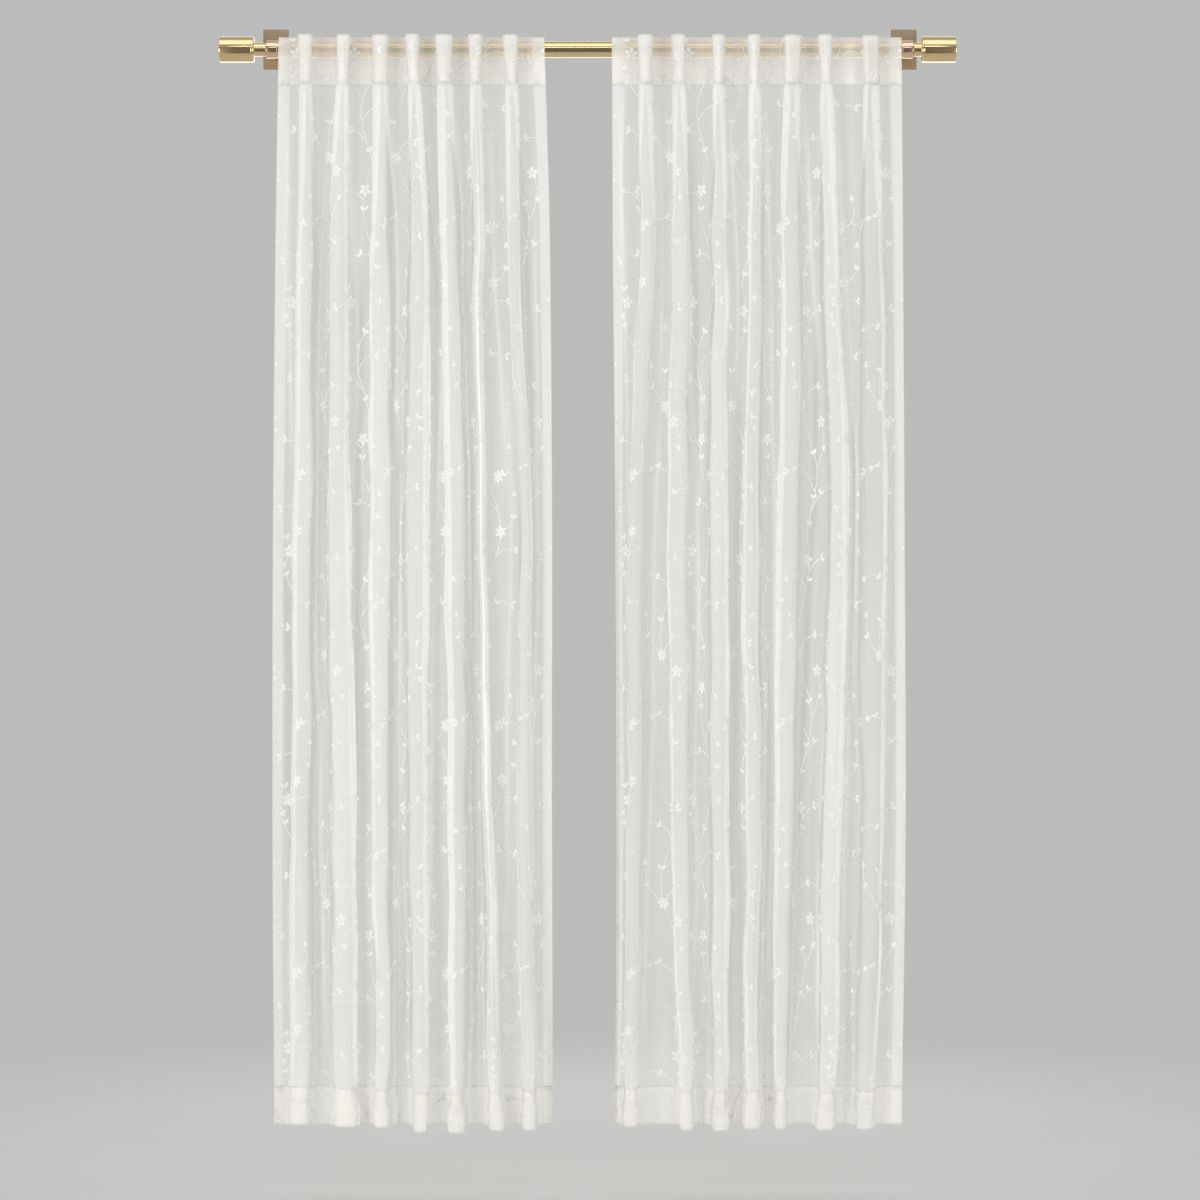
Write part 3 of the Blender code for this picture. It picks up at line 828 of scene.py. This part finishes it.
def buildVineMaker():
    maker = Maker("vines on cloth", {
        "Second Vine": "Object", "Cloth": "Object", "Cloth Width": "Float", "Cloth Drop": "Float",
        "Repeat Width": "Float", "Repeat Height": "Float", "Columns": "Int", "Rows": "Int",
        "Thread": "Material"})
    rows, index = maker.given("Rows"), maker.link("GeometryNodeInputIndex")
    column = maker.reckon("FLOOR", maker.reckon("DIVIDE", index + 0.001, rows))
    odd = maker.reckon("MODULO", column, 2.0)
    row = index - column * rows
    place = maker.link("ShaderNodeCombineXYZ", {
        "X": (column - 0.5) * maker.given("Repeat Width"),
        "Y": 0.0 - (row + odd * 0.5) * maker.given("Repeat Height")})
    points = maker.link("GeometryNodePoints", {"Count": maker.given("Columns") * rows, "Position": place})
    even = maker.below(odd, 0.5)
    placed = maker.node("GeometryNodeJoinGeometry")
    vines = ((even, maker.given("Geometry")), (maker.opposite(even), maker.shapeOf("Second Vine")))
    for chosen, vine in vines:
        copies = maker.link("GeometryNodeInstanceOnPoints", {
            "Points": points, "Selection": chosen, "Instance": vine})
        maker.tree.links.new(copies.socket, placed.inputs[0])
    whole = maker.realized(Link(maker, placed.outputs[0]))
    # the turned-in heading and hems stay bare
    across, up = maker.parts(maker.link("GeometryNodeInputPosition"))[:2]
    sideways = maker.reckon("MINIMUM", across, maker.given("Cloth Width") - across)
    upward = maker.reckon("MINIMUM", 0.0 - up, maker.given("Cloth Drop") + up)
    beyond = maker.below(maker.reckon("MINIMUM", sideways, upward), 0.0)
    wrapFlat(maker, maker.without(whole, beyond))
    return maker


def wrapFlat(maker, whole):
    # what lies beyond the cloth's edges is dropped, the rest is laid on it
    place, surface = maker.link("GeometryNodeInputPosition"), maker.shapeOf("Cloth")
    across, up, high = maker.parts(place)
    spot = maker.link("ShaderNodeCombineXYZ", {"X": across + flatMargin[0], "Y": flatMargin[1] - up})

    def sample(wanted):
        found = maker.node("GeometryNodeSampleUVSurface", {
            "Mesh": surface, "Value": wanted, "UV Map": maker.stored("cloth"), "Sample UV": spot},
            data_type="FLOAT_VECTOR")
        return Link(maker, found.outputs["Value"]), Link(maker, found.outputs["Is Valid"])

    onCloth, valid = sample(place)
    outward = sample(maker.stored("rise"))[0]
    kept = maker.without(whole, maker.opposite(valid))
    lifted = maker.link("ShaderNodeVectorMath", {0: outward, "Scale": high}, operation="SCALE")
    landed = maker.link("ShaderNodeVectorMath", {0: onCloth, 1: lifted}, operation="ADD")
    moved = maker.link("GeometryNodeSetPosition", {"Geometry": kept, "Position": landed})
    maker.finish(moved, maker.given("Thread"))


def sewOn(name, mesh, maker, values, helper, helperMesh):
    # the flat work on both panels; the maker reads its second shape from a helper object
    helping = addPiece(helper, helperMesh)
    made = {}
    for side, panel in panels.items():
        piece = addPiece(f"{name}_{side}", mesh.copy())
        values |= {"Cloth": panel, "Thread": thread, helper: helping}
        made[side] = maker.run(piece, values)
        print(name, side, sum(len(face.vertices) - 2 for face in piece.data.polygons), "triangles")
    bpy.data.objects.remove(helping)
    return made


def makeEmbroidery():
    v = vineValues
    vines = []
    for layout in vineLayouts:
        work = FlatWork()
        work.addLayout(layout)
        vines.append(work.mesh("flat_vine"))
    return sewOn("embroidery", vines[0], buildVineMaker(), {
        "Cloth Width": panelValues["width"], "Cloth Drop": panelValues["drop"], "Columns": v["columns"],
        "Rows": v["rows"], "Repeat Width": v["repeatWidth"], "Repeat Height": v["repeatHeight"],
    }, "Second Vine", vines[1])


embroidery = makeEmbroidery()

# stitches along the heading, hem and side hems

stitchValues = {"pitch": 0.0042, "length": 2.9, "width": 0.75, "high": 0.42, "inset": 0.0022}


def seamLines():
    # each seam shows on the front and again on the turned layer behind it
    p, inset = panelValues, stitchValues["inset"]
    wide, drop = p["width"], p["drop"]
    heading, hem, hemSide = p["headingTurn"] - inset, drop - p["hemTurn"] + inset, p["sideTurn"] - inset
    lines = [((0.001, down), (wide - 0.001, down)) for down in (heading, -heading, hem, 2 * drop - hem)]
    for across in (hemSide, -hemSide, wide - hemSide, wide + hemSide):
        lines.append(((across, heading + 0.004), (across, hem - 0.004)))
    return lines


def buildStitchMaker():
    maker = Maker("stitches on cloth", {
        "Cloth": "Object", "Stitch": "Object", "Pitch": "Float", "Thread": "Material"})
    lines = maker.link("GeometryNodeMeshToCurve", {"Mesh": maker.given("Geometry")})
    spots = maker.node("GeometryNodeCurveToPoints", {"Curve": lines, "Length": maker.given("Pitch")},
                       mode="LENGTH")
    turned = maker.link("FunctionNodeAlignRotationToVector", {
        "Vector": Link(maker, spots.outputs["Tangent"])}, axis="X", pivot_axis="Z")
    copies = maker.link("GeometryNodeInstanceOnPoints", {
        "Points": Link(maker, spots.outputs["Points"]), "Instance": maker.shapeOf("Stitch"),
        "Rotation": turned})
    wrapFlat(maker, maker.realized(copies))
    return maker


def makeStitches():
    v = stitchValues
    stitch = FlatWork()
    half, side = v["length"] / 2, v["width"] / 2
    stitch.spots = [(-half, 0, 0), (half, 0, 0), (0, side, 0.05), (0, -side, 0.05), (0, 0, v["high"]),
                    (0, 0, -0.2)]
    for end, first, second in ((0, 3, 2), (1, 2, 3)):
        stitch.faces += [(end, first, 4), (end, 4, second), (end, second, 5), (end, 5, first)]
    lines = seamLines()
    seams = bpy.data.meshes.new("seams")
    seams.from_pydata([(x, -down, 0) for line in lines for x, down in line],
                      [(2 * i, 2 * i + 1) for i in range(len(lines))], [])
    values = {"Pitch": v["pitch"]}
    return sewOn("stitches", seams, buildStitchMaker(), values, "Stitch", stitch.mesh("one_stitch"))


stitches = makeStitches()

# back tabs, each a folded strip behind a flat

tabValues = {
    "width": 0.038, "thickness": 0.0007, "top": 0.0195, "end": -0.072, "foot": -0.066, "lap": -0.0153,
    "offRod": 0.0012, "steps": 44, "columns": 7, "pinch": 0.10, "waver": 0.0005,
}


def tabPath():
    v = tabValues
    lap, foot, around = v["lap"], v["foot"], rodValues["radius"] + v["offRod"]
    points = [(lap, v["top"]), (lap / 2, v["top"] - 0.0008)]
    leave = math.atan2(foot, lap) + math.acos(around / math.hypot(lap, foot))
    for i in range(13):
        angle = math.pi / 2 + (leave - math.pi / 2) * i / 12
        points.append((around * math.cos(angle), around * math.sin(angle)))
    y, z = points[-1]
    points += [((y + lap) / 2, (z + foot) / 2), (lap, foot), (lap, v["end"])]
    return [(0.0, y + rodValues["y"], z + rodValues["z"]) for y, z in points]


def makeTab(name, middle, seed):
    v = tabValues
    line = smoothRows(np.array([tabPath()]), 8)[0]
    along = lengthsAlong(line)
    spots = np.linspace(0, along[-1], v["steps"] + 1)
    path = pointsAt(spots, along, line)
    direction = np.gradient(path, spots, axis=0)
    outward = np.stack([direction[:, 0], direction[:, 2], -direction[:, 1]], axis=1)
    outward /= np.linalg.norm(outward, axis=1, keepdims=True)
    half = v["columns"]
    mesh = bmesh.new()
    layer = mesh.loops.layers.uv.new("cloth")
    rings = []
    for i, (spot, out) in enumerate(zip(path, outward)):
        free = math.sin(math.pi * i / v["steps"])
        pinch = 1 - v["pinch"] * free * abs(math.sin(2.1 * seed + 1))
        ring = []
        for k in range(2 * half):
            onBack = k >= half
            part = (k if not onBack else 2 * half - 1 - k) / (half - 1)
            across = (part - 0.5) * v["width"] * pinch
            waver = float(softNoise(np.array(part * 3), np.array(spots[i]), 1, 0.03, seed))
            swell = v["thickness"] / 2 * math.sin(math.pi * min(max(part, 0.04), 0.96)) ** 0.3
            offset = v["waver"] * free * waver + (-swell if onBack else swell)
            ring.append(mesh.verts.new(spot + out * offset + (middle + across, 0, 0)))
        rings.append(ring)
    for i in range(v["steps"]):
        for k in range(2 * half):
            after = (k + 1) % (2 * half)
            face = mesh.faces.new((rings[i][k], rings[i][after], rings[i + 1][after], rings[i + 1][k]))
            for loop, (row, column) in zip(face.loops, ((i, k), (i, k + 1), (i + 1, k + 1), (i + 1, k))):
                loop[layer].uv = (0.1 + seed * 0.05 + column * 0.0054, 0.1 + float(spots[row]))
    for ring in (rings[0], rings[-1]):
        for k in range(half - 1):
            mesh.faces.new((ring[k], ring[k + 1], ring[2 * half - 2 - k], ring[2 * half - 1 - k]))
    bmesh.ops.recalc_face_normals(mesh, faces=mesh.faces)
    made = plainMesh(name, mesh)
    made.shade_smooth()
    return addPiece(name, made, tabVoile), float(along[-1])


tabs = []
for side, firstSeed in (("left", 0), ("right", 20)):
    for number in range(1, 9):
        low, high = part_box(f"tab_{side}_{number}")
        tab, length = makeTab(f"back_tab_{side}_{number}", (low.x + high.x) / 2, number + firstSeed)
        tabs.append((tab, f"tab_{side}_{number}", length))
print("tabs made:", len(tabs))

# stage: a pale studio with a low key from the left, and a dark card that only the metal mirrors

stageValues = {
    "pale": (0.50, 0.499, 0.494, 1), "floor": (0.62, 0.617, 0.608, 1), "card": (0.26, 0.255, 0.25, 1),
    "floorBelow": 0.10, "fadeFrom": 0.5, "floorRadius": 2.6,
    # softboxes: place, target, width, height, power and colour
    "softboxes": {
        "key": ((-3.4, -5.4, -1.5), (0.6, 0, -1.1), 2.2, 3.4, 230, (1, 0.992, 0.98)),
        "fill": ((4.4, -5.6, -1.3), (0.6, 0, -1.2), 2.2, 3.4, 138, (1, 1, 1)),
        "back": ((0.8, 3.4, -0.4), (0.6, 0, -1.1), 6.5, 4.6, 130, (1, 1, 1)),
        "top": ((0.645, -1.45, 2.45), (0.645, -0.09, -0.01), 3.2, 2.2, 22, (1, 1, 1)),
        "strip": ((0.645, -9.0, 3.44), (0.645, -0.09, -0.01), 5.0, 0.9, 44, (0.97, 0.95, 1.0)),
    },
}

bpy.context.scene.view_settings.view_transform = "Standard"
world = bpy.data.worlds.new("pale studio")
world.use_nodes = True
world.node_tree.nodes["Background"].inputs["Color"].default_value = stageValues["pale"]
bpy.context.scene.world = world


def addStagePiece(name, mesh, material):
    piece = addPiece(name, mesh, material)
    return piece


def makeFloor():
    v = stageValues
    middle = (0.645, -0.09, cadBox[0][2] - v["floorBelow"])
    mesh = bmesh.new()
    bmesh.ops.create_circle(mesh, cap_ends=True, radius=v["floorRadius"], segments=96)
    made = plainMesh("studio_floor", mesh)
    made.transform(Matrix.Translation(middle))
    shader = Shader("pale floor")
    place = shader.objectPlace()
    centred = shader.link("ShaderNodeVectorMath", {0: place, 1: middle}, operation="SUBTRACT")
    away = shader.link("ShaderNodeVectorMath", {0: centred}, "Value", operation="LENGTH")
    shown = shader.link("ShaderNodeMapRange", {
        "Value": away, "From Min": v["fadeFrom"], "From Max": v["floorRadius"] * 0.97, "To Min": 1.0,
        "To Max": 0.0}, interpolation_type="SMOOTHSTEP")
    addStagePiece("studio_floor", made, shader.finish(shader.link("ShaderNodeBsdfPrincipled", {
        "Base Color": v["floor"], "Roughness": 0.9, "Specular IOR Level": 0.1, "Alpha": shown})))


def makeCard():
    # behind the camera, from below the eye to well above it
    corners = ((-2.6, -9.2, -8.6), (3.9, -9.2, -8.6), (3.9, -9.2, 5.6), (-2.6, -9.2, 5.6))
    made = bpy.data.meshes.new("dark_card")
    made.from_pydata(corners, [], [(0, 1, 2, 3)])
    shader = Shader("dark card")
    plain = shader.link("ShaderNodeBsdfDiffuse", {"Color": stageValues["card"]})
    card = addStagePiece("dark_card", made, shader.finish(plain))
    card.visible_camera = card.visible_diffuse = card.visible_transmission = card.visible_shadow = False


def addSoftbox(name, place, target, width, height, power, colour):
    data = bpy.data.lights.new(name, "AREA")
    data.shape, data.size, data.size_y, data.energy, data.color = "RECTANGLE", width, height, power, colour
    lamp = addPiece(name, data)
    lamp.location = place
    lamp.rotation_euler = (Vector(target) - Vector(place)).to_track_quat("-Z", "Y").to_euler()
    lamp.visible_camera = False


makeFloor()
makeCard()
for name, values in stageValues["softboxes"].items():
    addSoftbox(f"{name} softbox", *values)
print("stage made")

# rod, caps, cups and plates: turned shapes as distance along and radius in mm

hardwareValues = {
    "sides": 128, "soften": 1.4, "gap": 0.3, "rodRadius": 16.0, "neckRadius": 13.5, "capLength": 67.0,
    "cap": ((0, 25.25), (3.8, 25.25), (3.8, 25.0), (4.4, 25.0), (4.4, 25.25), (67.0, 25.25), (67.0, 0)),
    "cup": ((-10.5, 16.3), (-10.5, 17.5), (10.5, 17.5), (10.5, 16.3)), "cupSoften": 0.5,
    "armRadius": 7.0, "armStart": 16.8, "armSoften": 1.0, "plate": (51.0, 4.0, 80.0), "plateEdge": 1.0,
    "sharpFrom": 35,
}


def softened(profile, size, steps=4):
    # each corner of a profile rounded a little
    made = [profile[0]]
    for before, corner, after in zip(profile, profile[1:], profile[2:]):
        b, c, a = (np.array(point, dtype=float) for point in (before, corner, after))
        start = c + (b - c) * min(0.5, size / np.linalg.norm(b - c))
        end = c + (a - c) * min(0.5, size / np.linalg.norm(a - c))
        for i in range(steps + 1):
            t = i / steps
            made.append(tuple(start * (1 - t) ** 2 + c * 2 * t * (1 - t) + end * t ** 2))
    return made + [profile[-1]]


def addTurned(mesh, profile, start, axis, closed=False):
    axis = Vector(axis)
    side = axis.cross(Vector((0, 0, 1))).normalized()
    up = axis.cross(side)
    sides = hardwareValues["sides"]
    rings = []
    for along, radius in profile:
        middle = Vector(start) + axis * along / 1000
        around = [2 * math.pi * k / sides for k in range(sides)] if radius else [0]
        rings.append([mesh.verts.new(middle + (side * math.cos(t) + up * math.sin(t)) * radius / 1000)
                      for t in around])
    for first, second in zip(rings, rings[1:] + rings[:1] if closed else rings[1:]):
        for k in range(sides):
            corners = (first[k % len(first)], first[(k + 1) % len(first)],
                       second[(k + 1) % len(second)], second[k % len(second)])
            corners = tuple(dict.fromkeys(corners))
            if len(corners) > 2:
                mesh.faces.new(corners)


def bar(length, radius):
    return (0, 0), (0, radius), (length, radius), (length, 0)


def makeHardware():
    v, y, z = hardwareValues, rodValues["y"], rodValues["z"]
    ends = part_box("rod")[0].x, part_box("rod")[1].x
    mesh, made = bmesh.new(), {}

    def finish(node, name, material):
        nonlocal mesh
        bmesh.ops.recalc_face_normals(mesh, faces=mesh.faces)
        plain = plainMesh(name, mesh)
        plain.shade_smooth()
        plain.set_sharp_from_angle(angle=math.radians(v["sharpFrom"]))
        made[node] = addPiece(name, plain, material)
        mesh = bmesh.new()

    profile = softened(bar((ends[1] - ends[0]) * 1000, v["rodRadius"]), v["soften"])
    addTurned(mesh, profile, (ends[0], y, z), (1, 0, 0))
    finish("rod", "turned_rod", satinBrass)
    for side, way, end in (("left", -1, ends[0]), ("right", 1, ends[1])):
        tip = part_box(f"finial_{side}")[0 if way < 0 else 1].x
        neck = abs(tip - end) * 1000 - v["gap"] - v["capLength"]
        profile = [*bar(neck, v["neckRadius"])[:3], *((neck + along, radius) for along, radius in v["cap"])]
        addTurned(mesh, softened(profile, v["soften"]), (end + way * v["gap"] / 1000, y, z), (way, 0, 0))
        finish(f"finial_{side}", f"turned_finial_{side}", satinBrass)
        low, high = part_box(f"bracket_{side}")
        middle = (low.x + high.x) / 2
        ring = softened(v["cup"][-1:] + v["cup"] + v["cup"][:1], v["cupSoften"], 3)[1:-1]
        addTurned(mesh, ring, (middle, y, z), (1, 0, 0), closed=True)
        profile = softened(bar((high.y - y) * 1000 - v["armStart"], v["armRadius"]), v["armSoften"])
        addTurned(mesh, profile, (middle, y + v["armStart"] / 1000, z), (0, 1, 0))
        finish(f"bracket_{side}", f"cup_and_arm_{side}", roseBrass)
        low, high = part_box(f"wall_plate_{side}")
        bmesh.ops.create_cube(mesh, size=1.0)
        bmesh.ops.scale(mesh, vec=[part / 1000 for part in v["plate"]], verts=mesh.verts)
        bmesh.ops.translate(mesh, vec=(low + high) / 2, verts=mesh.verts)
        bmesh.ops.bevel(mesh, geom=mesh.edges[:], offset=v["plateEdge"] / 1000, segments=3, affect="EDGES")
        finish(f"wall_plate_{side}", f"plate_{side}", brushedBronze)
    mesh.free()
    print("hardware made:", len(made))
    return made


hardware = makeHardware()

# every piece on the frame

for side, panel in panels.items():
    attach(panel, "root")
    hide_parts(f"panel_{side}")
    for piece in (embroidery[side], stitches[side]):
        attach(piece, "root")
for tab, node, length in tabs:
    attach(tab, "root")
    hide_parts(node)

for node, piece in hardware.items():
    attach(piece, "root")
    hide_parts(node)
